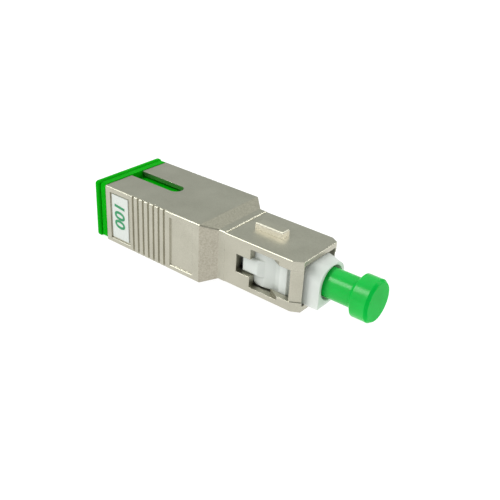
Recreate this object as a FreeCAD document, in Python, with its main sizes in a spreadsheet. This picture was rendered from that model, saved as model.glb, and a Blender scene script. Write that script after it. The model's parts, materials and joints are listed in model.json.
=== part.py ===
# Fibre attenuator: a metal shell with a plug end (+X) and a receptacle end (x = 0).
# The fibre runs along the X axis at y = 0, z = 0. The key and the keyway are on the +Z side,
# and the label is on the -Y side. All lengths are in millimetres.
import FreeCAD
import Part
import Sketcher
import math
import os

doc = FreeCAD.newDocument("fibre_attenuator")
sheet = doc.addObject("Spreadsheet::Sheet", "sizes")

# Driving dimensions, by the piece that they belong to.
SIZES = {
    # plug section of the shell, and what its walls leave inside
    "plug_width": 9.0,
    "plug_height": 7.4,
    "plug_length": 12.17,
    "plug_side_wall": 1.0,
    "plug_top_wall": 0.75,
    "plug_edge_round": 0.2,
    "corner_cut_length": 1.38,
    "corner_cut_depth": 0.81,
    "strut_recess": 0.12,
    "strut_setback": 0.05,
    "key_width": 1.5,
    "key_length": 4.5,
    "key_rise": 0.95,
    "key_setback": 5.6,
    "key_round": 0.25,
    # latch windows in the two sides of the plug section
    "window_setback": 1.55,
    "window_length": 6.3,
    "window_opening": 4.6,
    "window_full_opening": 5.7,
    "notch_length": 2.3,
    "notch_opening": 2.66,
    "cam_run": 2.0,
    "cam_toe": 3.7,
    # neck and taper between the two sections
    "neck_width": 9.03,
    "neck_height": 7.6,
    "neck_length": 1.08,
    "taper_length": 1.89,
    # receptacle section of the shell
    "rear_length": 18.17,
    "rear_side_wall": 1.77,
    "rear_top_wall": 0.72,
    "rear_edge_round": 0.3,
    "grip_gap": 0.05,
    "cavity_depth": 18.2,
    "keyway_width": 2.3,
    "keyway_length": 9.1,
    # recesses and grip grooves in the sides of the receptacle section
    "label_recess_start": 0.87,
    "label_recess_length": 4.05,
    "label_recess_height": 7.36,
    "label_recess_depth": 0.25,
    "label_margin": 0.25,
    "label_thickness": 0.1,
    "groove_start": 5.4,
    "groove_pitch": 1.015,
    "groove_count": 7,
    "groove_width": 0.45,
    "groove_depth": 0.3,
    "panel_setback": 1.15,
    "panel_length": 4.25,
    "panel_height": 7.36,
    "panel_depth": 0.2,
    "lip_round": 0.18,
    # white plug frame
    "frame_gap": 0.1,
    "nose_width": 5.8,
    "nose_reach": 2.0,
    "nose_round": 1.5,
    "nose_front_drop": 0.27,
    "nose_front_round": 2.2,
    "nose_bore_radius": 2.45,
    "nose_bore_depth": 4.3,
    "ridge_setback": 2.7,
    "ridge_length": 1.1,
    "hook_pocket_length": 2.4,
    "hook_pocket_slope": 1.4,
    "frame_back_length": 1.7,
    "frame_back_height": 5.3,
    "frame_back_round": 0.7,
    "tab_length": 3.4,
    "tab_height": 2.4,
    "tab_rise": 0.5,
    "tab_ramp": 0.9,
    "tab_round": 0.35,
    "seat_wall": 1.2,
    "seat_bore_radius": 1.6,
    "spring_bore_radius": 2.12,
    "frame_tube_wall": 0.45,
    # ferrule, its collar, spring and fibre
    "ferrule_radius": 1.25,
    "ferrule_length": 22.4,
    "ferrule_reach": 4.1,
    "ferrule_cone_length": 0.7,
    "ferrule_tip_radius": 0.8,
    "polish_drop": 0.22,
    "fibre_radius": 0.0625,
    "fibre_bore_radius": 0.07,
    "collar_radius": 2.0,
    "collar_length": 1.9,
    "collar_cone": 0.5,
    "collar_spigot_radius": 1.5,
    "collar_spigot_length": 1.5,
    "collar_notch": 0.7,
    "spring_coils": 6,
    "spring_end_coils": 1,
    "spring_wire_radius": 0.2,
    "spring_radius": 1.78,
    # sleeve, its tube and the latch hooks of the receptacle
    "sleeve_wall": 0.34,
    "sleeve_length": 11.3,
    "sleeve_slit": 0.5,
    "running_gap": 0.02,
    "sleeve_side_gap": 0.05,
    "sleeve_lip": 0.4,
    "sleeve_lip_radius": 1.4,
    "stop_ring_length": 0.6,
    "stop_ring_radius": 2.08,
    "slide_travel": 2.0,
    "slide_stop_gap": 0.1,
    "latch_base_length": 1.5,
    "latch_base_gap": 0.15,
    "arm_thickness": 0.45,
    "arm_height": 3.4,
    "hook_height": 4.3,
    "hook_length": 0.9,
    "hook_gap": 0.1,
    "arm_gap": 0.05,
    "arm_bend_start": 2.5,
    "arm_bend_end": 1.4,
    # green cap on the ferrule tip
    "cap_bore_radius": 1.28,
    "cap_barrel_radius": 2.07,
    "cap_grip": 7.1,
    "cap_barrel_length": 6.7,
    "cap_cone_length": 0.65,
    "cap_knob_radius": 2.93,
    "cap_knob_length": 2.05,
    "cap_edge_length": 0.4,
    "cap_edge_depth": 0.3,
    "cap_tip_gap": 0.6,
    # green dust plug of the receptacle
    "flange_gap": 0.05,
    "flange_width": 12.6,
    "flange_height": 8.75,
    "flange_length": 0.95,
    "flange_lift": 0.175,
    "flange_round": 0.5,
    "flange_groove_length": 0.2,
    "flange_groove_depth": 0.3,
    "flange_edge": 0.32,
    "rim_width": 13.05,
    "rim_height": 8.9,
    "rim_length": 0.9,
    "insert_side_gap": 0.15,
    "insert_top_gap": 0.3,
    "insert_wall": 0.7,
    "insert_length": 9.3,
    "insert_cut_gap": 0.4,
}


class Length:
    """A cell of the sheet, or a sum worked out from cells: its expression and its number."""

    def __init__(self, text, value):
        self.text = text
        self.value = value

    def __add__(self, other):
        other = length(other)
        return Length(f"({self.text} + {other.text})", self.value + other.value)

    def __sub__(self, other):
        other = length(other)
        return Length(f"({self.text} - {other.text})", self.value - other.value)

    def __mul__(self, factor):
        return Length(f"({self.text} * {factor})", self.value * factor)

    def __truediv__(self, divisor):
        return Length(f"({self.text} / {divisor})", self.value / divisor)

    def __neg__(self):
        return Length(f"(0 - {self.text})", -self.value)


def length(item):
    """Gives a plain number the form of a Length."""
    if isinstance(item, Length):
        return item
    return Length(str(item), float(item))


class Sizes:
    """Writes the driving dimensions into the sheet and reads them back as lengths."""

    def __init__(self, values):
        for row, (alias, value) in enumerate(values.items(), start=1):
            sheet.set(f"A{row}", alias)
            sheet.set(f"B{row}", str(value))
            sheet.setAlias(f"B{row}", alias)
        doc.recompute()
        self.aliases = list(values)

    def __getattr__(self, alias):
        if alias not in self.aliases:
            raise AttributeError(alias)
        return Length(f"sizes.{alias}", float(getattr(sheet, alias)))


s = Sizes(SIZES)
QUARTER_TURN = math.pi / 2
OVERRUN = 1.0
NEAR = 0.01
RUNS_PER_COIL = 12
WIRE_SIDES = 8


def new_body(label):
    """An empty body with a label of its own, which names its file."""
    body = doc.addObject("PartDesign::Body", label)
    body.Label = label
    return body


def new_sketch(body, name, plane, offset):
    """A sketch on one of the body's own planes, moved along its normal by offset."""
    sketch = body.newObject("Sketcher::SketchObject", f"{body.Label}_{name}")
    planes = [item for item in body.Origin.OriginFeatures if item.Role == plane]
    sketch.AttachmentSupport = [(planes[0], "")]
    sketch.MapMode = "FlatFace"
    offset = length(offset)
    sketch.AttachmentOffset = FreeCAD.Placement(
        FreeCAD.Vector(0, 0, offset.value), FreeCAD.Rotation()
    )
    sketch.setExpression("AttachmentOffset.Base.z", offset.text)
    return sketch


def place_point(sketch, geometry, end, x, y):
    """Ties a point of the sketch to its two distances from the origin.

    A sketch counts its horizontal axis as geometry -1, which starts at the origin, and its
    vertical axis as -2. A point on an axis is tied to that axis and takes no distance.
    """
    for kind, axis, distance in (("DistanceX", -2, x), ("DistanceY", -1, y)):
        if distance.text == "0":
            sketch.addConstraint(Sketcher.Constraint("PointOnObject", geometry, end, axis))
            continue
        index = sketch.addConstraint(
            Sketcher.Constraint(kind, -1, 1, geometry, end, distance.value)
        )
        sketch.setExpression(f"Constraints[{index}]", distance.text)


def add_outline(sketch, points):
    """Draws a closed outline of straight lines through points given as (x, y) lengths."""
    points = [(length(x), length(y)) for x, y in points]
    corners = [FreeCAD.Vector(x.value, y.value, 0) for x, y in points]
    first = sketch.GeometryCount
    count = len(corners)
    for number in range(count):
        sketch.addGeometry(Part.LineSegment(corners[number], corners[(number + 1) % count]), False)
    for number, (x, y) in enumerate(points):
        following = first + (number + 1) % count
        sketch.addConstraint(Sketcher.Constraint("Coincident", first + number, 2, following, 1))
        place_point(sketch, first + number, 1, x, y)


def add_circle(sketch, x, y, radius):
    """Draws a circle by its centre and radius."""
    x, y, radius = length(x), length(y), length(radius)
    centre = FreeCAD.Vector(x.value, y.value, 0)
    circle = sketch.addGeometry(Part.Circle(centre, FreeCAD.Vector(0, 0, 1), radius.value), False)
    place_point(sketch, circle, 3, x, y)
    index = sketch.addConstraint(Sketcher.Constraint("Radius", circle, radius.value))
    sketch.setExpression(f"Constraints[{index}]", radius.text)


def add_rounded(sketch, width, height, radius, lift=0):
    """Draws a rectangle with rounded corners, centred on x = 0 and on y = lift."""
    width, height, radius, lift = length(width), length(height), length(radius), length(lift)
    reach_x = width / 2 - radius
    reach_y = height / 2 - radius
    centres = [
        (reach_x, lift + reach_y),
        (-reach_x, lift + reach_y),
        (-reach_x, lift - reach_y),
        (reach_x, lift - reach_y),
    ]
    arcs = []
    for quarter, (x, y) in enumerate(centres):
        circle = Part.Circle(
            FreeCAD.Vector(x.value, y.value, 0), FreeCAD.Vector(0, 0, 1), radius.value
        )
        start = quarter * QUARTER_TURN
        arcs.append(sketch.addGeometry(Part.ArcOfCircle(circle, start, start + QUARTER_TURN), False))
    for quarter, (x, y) in enumerate(centres):
        arc, following = arcs[quarter], arcs[(quarter + 1) % 4]
        line = sketch.addGeometry(
            Part.LineSegment(
                sketch.Geometry[arc].EndPoint, sketch.Geometry[following].StartPoint
            ),
            False,
        )
        sketch.addConstraint(Sketcher.Constraint("Tangent", arc, 2, line, 1))
        sketch.addConstraint(Sketcher.Constraint("Tangent", line, 2, following, 1))
        place_point(sketch, arc, 3, x, y)
        index = sketch.addConstraint(Sketcher.Constraint("Radius", arc, radius.value))
        sketch.setExpression(f"Constraints[{index}]", radius.text)


def outline(body, name, plane, *outlines, offset=0):
    """A sketch of one or more straight-lined outlines."""
    sketch = new_sketch(body, name, plane, offset)
    for points in outlines:
        add_outline(sketch, points)
    return sketch


def rounded(body, name, offset, width, height, radius, lift=0):
    """A sketch across the fibre axis of a rounded rectangle, at x = offset."""
    sketch = new_sketch(body, name, "YZ_Plane", offset)
    add_rounded(sketch, width, height, radius, lift)
    return sketch


def box_points(x_low, x_high, y_low, y_high):
    """The four corners of a rectangle."""
    return [(x_low, y_low), (x_high, y_low), (x_high, y_high), (x_low, y_high)]


def both_sides(points):
    """The outline and its mirror image in y, the second turned to run the same way round."""
    mirrored = [(x, -length(y)) for x, y in reversed(points)]
    return points, mirrored


def feature(body, kind, name, sketch, distance=None, side="One side", reverse=False):
    """Adds a pad or a pocket of the sketch, as deep as distance."""
    item = body.newObject(f"PartDesign::{kind}", f"{body.Label}_{name}")
    item.Profile = sketch
    item.Reversed = reverse
    item.SideType = side
    if distance is None:
        item.Type = "ThroughAll"
    else:
        distance = length(distance)
        item.Length = distance.value
        item.setExpression("Length", distance.text)
    body.Tip = item
    return item


def turned(body, kind, name, sketch):
    """Turns the sketch about its own horizontal axis: a Revolution adds, a Groove cuts."""
    item = body.newObject(f"PartDesign::{kind}", f"{body.Label}_{name}")
    item.Profile = sketch
    item.ReferenceAxis = (sketch, ["H_Axis"])
    item.Angle = 360
    body.Tip = item
    return item


def loft(body, name, start, end):
    """A straight loft between two sketches."""
    item = body.newObject("PartDesign::AdditiveLoft", f"{body.Label}_{name}")
    item.Profile = start
    item.Sections = [end]
    item.Ruled = True
    body.Tip = item
    return item


def edges_where(shape, test):
    """The names of the edges whose end points all pass the test."""
    names = []
    for number, edge in enumerate(shape.Edges, start=1):
        if all(test(vertex.Point) for vertex in edge.Vertexes):
            names.append(f"Edge{number}")
    return names


def rounding(body, name, radius, test):
    """Rounds the edges of the body's last feature that pass the test."""
    doc.recompute()
    base = body.Tip
    item = body.newObject("PartDesign::Fillet", f"{body.Label}_{name}")
    item.Base = (base, edges_where(base.Shape, test))
    radius = length(radius)
    item.Radius = radius.value
    item.setExpression("Radius", radius.text)
    body.Tip = item
    return item


# Places along the fibre axis, worked out once from the sizes.
taper_end = s.rear_length + s.taper_length
plug_back = taper_end + s.neck_length
plug_front = plug_back + s.plug_length
nose_front = plug_front + s.nose_reach
ferrule_tip = nose_front + s.ferrule_reach
mating_plane = ferrule_tip - s.ferrule_length
window_front = plug_front - s.window_setback
window_back = window_front - s.window_length
ridge_front = plug_front - s.ridge_setback
ridge_back = ridge_front - s.ridge_length
latch_base_front = s.cavity_depth - s.slide_travel - s.slide_stop_gap
latch_base_back = latch_base_front - s.latch_base_length
sleeve_back = mating_plane - s.sleeve_length / 2
sleeve_front = mating_plane + s.sleeve_length / 2
stop_ring_back = sleeve_front + s.sleeve_side_gap
stop_ring_front = stop_ring_back + s.stop_ring_length
seat_back = nose_front - s.nose_bore_depth - s.seat_wall
collar_front = seat_back + s.collar_cone - s.running_gap
collar_back = collar_front - s.collar_length
hook_face = mating_plane - (ferrule_tip - ridge_back) - s.hook_gap
hook_tip = hook_face - s.hook_length

# Widths and heights that more than one piece reads.
cavity_width = s.plug_width + s.grip_gap * 2
cavity_height = s.plug_height + s.grip_gap * 2
rear_width = cavity_width + s.rear_side_wall * 2
rear_height = cavity_height + s.rear_top_wall * 2
passage_width = s.plug_width - s.plug_side_wall * 2
passage_height = s.plug_height - s.plug_top_wall * 2
frame_width = passage_width - s.frame_gap * 2
frame_height = passage_height - s.frame_gap * 2
sleeve_inner_radius = s.ferrule_radius + s.running_gap
sleeve_outer_radius = sleeve_inner_radius + s.sleeve_wall
label_floor = rear_width / 2 - s.label_recess_depth


def metal_shell():
    """The die-cast housing: receptacle section, taper, neck and plug section in one piece."""
    body = new_body("metal_shell")
    rear = rounded(body, "rear_outline", 0, rear_width, rear_height, s.rear_edge_round)
    feature(body, "Pad", "rear", rear, s.rear_length)
    taper_start = rounded(
        body, "taper_start", s.rear_length, rear_width, rear_height, s.rear_edge_round
    )
    taper_stop = rounded(
        body, "taper_stop", taper_end, s.neck_width, s.neck_height, s.rear_edge_round
    )
    loft(body, "taper", taper_start, taper_stop)
    neck = rounded(
        body, "neck_outline", taper_end, s.neck_width, s.neck_height, s.rear_edge_round
    )
    feature(body, "Pad", "neck", neck, s.neck_length)
    plug = rounded(
        body, "plug_outline", plug_back, s.plug_width, s.plug_height, s.plug_edge_round
    )
    feature(body, "Pad", "plug", plug, s.plug_length)
    key_front = plug_front - s.key_setback
    key_points = box_points(key_front - s.key_length, key_front, -s.key_width / 2, s.key_width / 2)
    key_foot = s.plug_height / 2 - s.plug_top_wall / 2
    key = outline(body, "key_outline", "XY_Plane", key_points, offset=key_foot)
    feature(body, "Pad", "key", key, s.key_rise + s.plug_top_wall / 2)
    key_level = (s.plug_height / 2 + s.key_rise / 2).value

    def on_key(point):
        """Tells the edges of the key's top, and not its foot."""
        return point.z > key_level and point.x > plug_back.value

    rounding(body, "key_rounding", s.key_round, on_key)
    cut_shell_cavities(body)
    cut_shell_sides(body)
    cut_windows(body)
    return body


def cut_shell_cavities(body):
    """Hollows the shell: the receptacle, the passage through the plug end and the keyway."""
    cavity = rounded(body, "cavity_outline", 0, cavity_width, cavity_height, s.plug_edge_round)
    feature(body, "Pocket", "cavity", cavity, s.cavity_depth, reverse=True)
    passage = rounded(
        body, "passage_outline", plug_front, passage_width, passage_height, s.plug_edge_round
    )
    feature(body, "Pocket", "passage", passage, plug_front - s.cavity_depth + OVERRUN)
    round_centre = s.keyway_length - s.keyway_width / 2
    half = s.keyway_width / 2
    slot = outline(
        body,
        "keyway_outline",
        "XY_Plane",
        box_points(-length(OVERRUN), round_centre, -half, half),
        offset=rear_height / 2,
    )
    feature(body, "Pocket", "keyway", slot, s.rear_top_wall + OVERRUN)
    end = new_sketch(body, "keyway_end_outline", "XY_Plane", rear_height / 2)
    add_circle(end, round_centre, 0, half)
    feature(body, "Pocket", "keyway_end", end, s.rear_top_wall + OVERRUN)


def cut_shell_sides(body):
    """Cuts the label recesses, the grip grooves and the panels into both sides."""
    half = rear_width / 2
    outside = half + OVERRUN
    recess_points = box_points(
        s.label_recess_start,
        s.label_recess_start + s.label_recess_length,
        label_floor,
        outside,
    )
    recess = outline(body, "label_recess_outline", "XY_Plane", *both_sides(recess_points))
    feature(body, "Pocket", "label_recess", recess, s.label_recess_height, side="Symmetric")
    panel_end = s.rear_length - s.panel_setback
    panel_points = box_points(
        panel_end - s.panel_length, panel_end, half - s.panel_depth, outside
    )
    panel = outline(body, "panel_outline", "XY_Plane", *both_sides(panel_points))
    feature(body, "Pocket", "panel", panel, s.panel_height, side="Symmetric")
    lip_y = half.value
    lip_z = (-s.panel_height / 2).value

    def on_lip(point):
        """Tells the lower outer edges of the label recesses and the panels."""
        return abs(abs(point.y) - lip_y) < NEAR and abs(point.z - lip_z) < NEAR

    rounding(body, "lip_rounding", s.lip_round, on_lip)
    middle = s.groove_start + s.groove_width / 2
    quarter = s.groove_width / 4
    groove_points = [
        (middle - quarter, half - s.groove_depth),
        (middle + quarter, half - s.groove_depth),
        (middle + s.groove_width / 2, half),
        (middle + s.groove_width / 2, outside),
        (middle - s.groove_width / 2, outside),
        (middle - s.groove_width / 2, half),
    ]
    groove = outline(body, "grip_outline", "XY_Plane", *both_sides(groove_points))
    first = feature(body, "Pocket", "grip", groove, rear_height + OVERRUN, side="Symmetric")
    doc.recompute()
    pattern = body.newObject("PartDesign::LinearPattern", f"{body.Label}_grips")
    pattern.Originals = [first]
    pattern.Direction = (groove, ["H_Axis"])
    pattern.setExpression("Length", f"{s.groove_pitch.text} * ({s.groove_count.text} - 1)")
    pattern.Occurrences = int(s.groove_count.value)
    pattern.setExpression("Occurrences", s.groove_count.text)
    body.Tip = pattern


def cut_windows(body):
    """Cuts the latch windows with their cam ramps, and the corners of the plug's front."""
    half = s.plug_width / 2
    inside = passage_width / 2 - s.frame_gap
    outside = half + OVERRUN
    opening = box_points(window_back, window_front, inside, outside)
    window = outline(body, "window_outline", "XY_Plane", *both_sides(opening))
    feature(body, "Pocket", "window", window, s.window_opening, side="Symmetric")
    toe = window_front - s.cam_toe
    crest = toe + s.cam_run
    ramped = [
        (window_back, inside),
        (toe, inside),
        (crest, half),
        (crest, outside),
        (window_back, outside),
    ]
    cam = outline(body, "cam_outline", "XY_Plane", *both_sides(ramped))
    feature(body, "Pocket", "cam", cam, s.window_full_opening, side="Symmetric")
    notch_points = box_points(
        window_back - s.notch_length, window_back + s.notch_length / 2, inside, outside
    )
    notch = outline(body, "notch_outline", "XY_Plane", *both_sides(notch_points))
    feature(body, "Pocket", "notch", notch, s.notch_opening, side="Symmetric")
    corner = [
        (plug_front - s.corner_cut_length, half),
        (plug_front, half - s.corner_cut_depth),
        (plug_front + OVERRUN, half - s.corner_cut_depth),
        (plug_front + OVERRUN, outside),
        (plug_front - s.corner_cut_length, outside),
    ]
    corners = outline(body, "corner_outline", "XY_Plane", *both_sides(corner))
    feature(body, "Pocket", "corner", corners, s.plug_height + OVERRUN, side="Symmetric")
    strut = [
        (window_front, half - s.strut_recess),
        (plug_front - s.corner_cut_length, half - s.strut_recess),
        (plug_front - s.strut_setback, half - s.corner_cut_depth - s.strut_recess),
        (plug_front - s.strut_setback, inside),
        (plug_front + OVERRUN, inside),
        (plug_front + OVERRUN, outside),
        (window_front, outside),
    ]
    struts = outline(body, "strut_outline", "XY_Plane", *both_sides(strut))
    feature(body, "Pocket", "strut", struts, s.window_opening, side="Symmetric")


def side_label():
    """The sticker in the label recess of the -Y side."""
    label = doc.addObject("Part::Box", "side_label")
    label.Label = "side_label"
    sticker_length = s.label_recess_length - s.label_margin * 3
    sticker_height = s.label_recess_height - s.label_margin * 2
    label.setExpression("Length", sticker_length.text)
    label.setExpression("Width", s.label_thickness.text)
    label.setExpression("Height", sticker_height.text)
    label.setExpression("Placement.Base.x", (s.label_recess_start + s.label_margin).text)
    label.setExpression("Placement.Base.y", (-label_floor - s.label_thickness).text)
    label.setExpression("Placement.Base.z", (-sticker_height / 2).text)
    return label


def plug_frame():
    """The white frame: block, tube, snap tabs, hook pockets behind the ridges, and the nose."""
    body = new_body("plug_frame")
    top = frame_height / 2
    pocket_back = ridge_back - s.hook_pocket_length
    block_back = pocket_back - s.frame_back_length
    back_half = s.frame_back_height / 2
    block_points = [
        (block_back, -back_half),
        (pocket_back, -back_half),
        (ridge_back, -top),
        (ridge_front, -top),
        (ridge_front, top),
        (ridge_back, top),
        (pocket_back, back_half),
        (block_back, back_half),
    ]
    block = outline(body, "block_outline", "XZ_Plane", block_points)
    feature(body, "Pad", "block", block, frame_width, side="Symmetric")
    block_back_x = block_back.value
    back_top_z = back_half.value

    def on_back_top(point):
        """Tells the upper edge of the block's rear face."""
        return abs(point.x - block_back_x) < NEAR and point.z > back_top_z - NEAR

    def on_back_bottom(point):
        """Tells the lower edge of the block's rear face."""
        return abs(point.x - block_back_x) < NEAR and point.z < NEAR - back_top_z

    rounding(body, "back_top_rounding", s.frame_back_round, on_back_top)
    rounding(body, "back_bottom_rounding", s.frame_back_round, on_back_bottom)
    tube_radius = s.spring_bore_radius + s.frame_tube_wall
    tube = new_sketch(body, "tube_outline", "YZ_Plane", latch_base_front)
    add_circle(tube, 0, 0, tube_radius)
    feature(body, "Pad", "tube", tube, ridge_back - latch_base_front)
    tab_back = pocket_back - s.tab_length
    tab_face = frame_width / 2 + s.tab_rise
    tab_points = [
        (tab_back, s.spring_bore_radius),
        (pocket_back, s.spring_bore_radius),
        (pocket_back, frame_width / 2),
        (pocket_back - s.tab_ramp, tab_face),
        (tab_back, tab_face),
    ]
    tabs = outline(body, "tab_outline", "XY_Plane", *both_sides(tab_points))
    feature(body, "Pad", "tabs", tabs, s.tab_height, side="Symmetric")
    tab_face_y = tab_face.value

    def on_tab(point):
        """Tells the edges around the outer faces of the two snap tabs."""
        return abs(point.y) > tab_face_y - NEAR

    rounding(body, "tab_rounding", s.tab_round, on_tab)
    half = s.nose_width / 2
    outside = frame_width / 2 + OVERRUN
    pocket_points = [
        (pocket_back, frame_width / 2),
        (pocket_back + s.hook_pocket_slope, half),
        (ridge_back, half),
        (ridge_back, outside),
        (pocket_back, outside),
    ]
    pockets = outline(body, "hook_pocket_outline", "XY_Plane", *both_sides(pocket_points))
    feature(body, "Pocket", "hook_pocket", pockets, frame_height + OVERRUN, side="Symmetric")
    section_height = frame_height + s.nose_round * 2
    lift = -s.nose_round
    base = rounded(
        body, "nose_base_outline", ridge_front, s.nose_width, section_height, s.nose_round, lift
    )
    feature(body, "Pad", "nose_base", base, plug_front - ridge_front)
    root = rounded(
        body, "nose_root_outline", plug_front, s.nose_width, section_height, s.nose_round, lift
    )
    tip = rounded(
        body,
        "nose_tip_outline",
        nose_front,
        s.nose_width,
        section_height,
        s.nose_front_round,
        lift - s.nose_front_drop,
    )
    loft(body, "nose", root, tip)
    below = box_points(ridge_front, nose_front + OVERRUN, -top * 3, -top)
    underside = outline(body, "nose_underside_outline", "XZ_Plane", below)
    feature(body, "Pocket", "nose_underside", underside, s.nose_width + OVERRUN, side="Symmetric")
    bore = [
        (latch_base_front - OVERRUN, 0),
        (nose_front + OVERRUN, 0),
        (nose_front + OVERRUN, s.nose_bore_radius),
        (seat_back + s.seat_wall, s.nose_bore_radius),
        (seat_back + s.seat_wall, s.seat_bore_radius),
        (seat_back + s.collar_cone, s.seat_bore_radius),
        (seat_back, s.spring_bore_radius),
        (latch_base_front - OVERRUN, s.spring_bore_radius),
    ]
    bores = outline(body, "bore_outline", "XY_Plane", bore)
    turned(body, "Groove", "bore", bores)
    return body


def rear_latch():
    """The clip behind the frame: a base plate, the sleeve tube and two latch arms."""
    body = new_body("rear_latch")
    plate = rounded(
        body,
        "plate_outline",
        latch_base_back,
        cavity_width - s.latch_base_gap * 2,
        cavity_height - s.latch_base_gap * 2,
        s.plug_edge_round,
    )
    feature(body, "Pad", "plate", plate, s.latch_base_length)
    tube_radius = s.spring_bore_radius - s.running_gap
    tube_back = sleeve_back - s.sleeve_side_gap - s.sleeve_lip
    tube = new_sketch(body, "tube_outline", "YZ_Plane", tube_back)
    add_circle(tube, 0, 0, tube_radius)
    feature(body, "Pad", "tube", tube, sleeve_front - tube_back)
    inner = s.nose_width / 2 + s.arm_gap
    over_ridge = frame_width / 2 + s.arm_gap * 2
    bend_front = hook_face + s.arm_bend_start
    bend_back = hook_face + s.arm_bend_end
    arm_points = [
        (latch_base_back + s.latch_base_length / 2, inner),
        (latch_base_back + s.latch_base_length / 2, inner + s.arm_thickness),
        (bend_front, inner + s.arm_thickness),
        (bend_back, over_ridge + s.arm_thickness),
        (hook_face, over_ridge + s.arm_thickness),
        (hook_face, over_ridge),
        (bend_back, over_ridge),
        (bend_front, inner),
    ]
    arms = outline(body, "arm_outline", "XY_Plane", *both_sides(arm_points))
    feature(body, "Pad", "arms", arms, s.arm_height, side="Symmetric")
    hook_points = [
        (hook_face, inner),
        (hook_face, over_ridge),
        (hook_face + s.hook_length / 2, over_ridge),
        (hook_face + s.hook_length / 2, over_ridge + s.arm_thickness),
        (hook_tip, over_ridge + s.arm_thickness),
        (hook_tip, over_ridge),
        (hook_tip + s.hook_length / 2, inner),
    ]
    hooks = outline(body, "hook_outline", "XY_Plane", *both_sides(hook_points))
    feature(body, "Pad", "hooks", hooks, s.hook_height, side="Symmetric")
    bore = [
        (tube_back - OVERRUN, 0),
        (sleeve_front + OVERRUN, 0),
        (sleeve_front + OVERRUN, sleeve_outer_radius + s.sleeve_side_gap),
        (sleeve_back - s.sleeve_side_gap, sleeve_outer_radius + s.sleeve_side_gap),
        (sleeve_back - s.sleeve_side_gap, s.sleeve_lip_radius),
        (tube_back - OVERRUN, s.sleeve_lip_radius),
    ]
    bores = outline(body, "bore_outline", "XY_Plane", bore)
    turned(body, "Groove", "bore", bores)
    return body


def split_sleeve():
    """The slit tube that lines up the two ferrules."""
    body = new_body("split_sleeve")
    ring = new_sketch(body, "ring_outline", "YZ_Plane", sleeve_back)
    add_circle(ring, 0, 0, sleeve_outer_radius)
    add_circle(ring, 0, 0, sleeve_inner_radius)
    feature(body, "Pad", "ring", ring, s.sleeve_length)
    slit_points = box_points(
        -s.sleeve_slit / 2, s.sleeve_slit / 2, length(0), sleeve_outer_radius + OVERRUN
    )
    slit = outline(body, "slit_outline", "YZ_Plane", slit_points, offset=sleeve_back)
    feature(body, "Pocket", "slit", slit, s.sleeve_length, reverse=True)
    return body


def stop_ring():
    """The ring that closes the sleeve tube and carries the spring."""
    body = new_body("stop_ring")
    ring = new_sketch(body, "ring_outline", "YZ_Plane", stop_ring_back)
    add_circle(ring, 0, 0, s.stop_ring_radius)
    add_circle(ring, 0, 0, s.sleeve_lip_radius)
    feature(body, "Pad", "ring", ring, s.stop_ring_length)
    return body


def spring_points():
    """The line of the spring's wire, with its first and last coils closed up."""
    coils = s.spring_coils.value
    end_coils = s.spring_end_coils.value
    clear = s.spring_wire_radius + s.running_gap
    start = (stop_ring_front + clear).value
    height = (collar_back - stop_ring_front - clear * 2).value
    closed_pitch = (s.spring_wire_radius * 2 + s.running_gap).value
    open_pitch = (height - closed_pitch * end_coils * 2) / (coils - end_coils * 2)
    runs = round(coils * RUNS_PER_COIL)
    points = []
    for run in range(runs + 1):
        turn = coils * run / runs
        open_turns = min(max(turn - end_coils, 0), coils - end_coils * 2)
        x = start + closed_pitch * (turn - open_turns) + open_pitch * open_turns
        angle = turn * QUARTER_TURN * 4
        y = s.spring_radius.value * math.cos(angle)
        z = s.spring_radius.value * math.sin(angle)
        points.append(FreeCAD.Vector(x, y, z))
    return points


def coil_spring():
    """The compression spring between the stop ring and the collar, swept in short runs."""
    points = spring_points()
    line = doc.addObject("Part::Polygon", "coil_spring_line")
    line.Nodes = points
    wire = doc.addObject("Part::RegularPolygon", "coil_spring_wire")
    wire.Polygon = WIRE_SIDES
    wire.setExpression("Circumradius", s.spring_wire_radius.text)
    along = FreeCAD.Rotation(FreeCAD.Vector(0, 0, 1), points[1] - points[0])
    wire.Placement = FreeCAD.Placement(points[0], along)
    spring = doc.addObject("Part::Sweep", "coil_spring")
    spring.Label = "coil_spring"
    spring.Sections = [wire]
    spring.Spine = (line, [])
    spring.Solid = True
    spring.Frenet = False
    spring.Transition = "Right corner"
    return spring


def ferrule():
    """The ceramic ferrule, bored for the fibre, coned at the tip and polished at a slant."""
    body = new_body("ferrule")
    profile = [
        (mating_plane, s.fibre_bore_radius),
        (ferrule_tip, s.fibre_bore_radius),
        (ferrule_tip, s.ferrule_tip_radius),
        (ferrule_tip - s.ferrule_cone_length, s.ferrule_radius),
        (mating_plane + s.ferrule_cone_length, s.ferrule_radius),
        (mating_plane, s.ferrule_tip_radius),
    ]
    turned(body, "Revolution", "blank", outline(body, "blank_outline", "XY_Plane", profile))
    reach = s.ferrule_radius
    front = [
        (ferrule_tip, -reach),
        (ferrule_tip + OVERRUN, -reach),
        (ferrule_tip + OVERRUN, reach),
        (ferrule_tip - s.polish_drop, reach),
    ]
    back = [
        (mating_plane, -reach),
        (mating_plane + s.polish_drop, reach),
        (mating_plane - OVERRUN, reach),
        (mating_plane - OVERRUN, -reach),
    ]
    polish = outline(body, "polish_outline", "XZ_Plane", front, back)
    feature(body, "Pocket", "polish", polish, s.ferrule_radius * 2 + OVERRUN, side="Symmetric")
    return body


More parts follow.
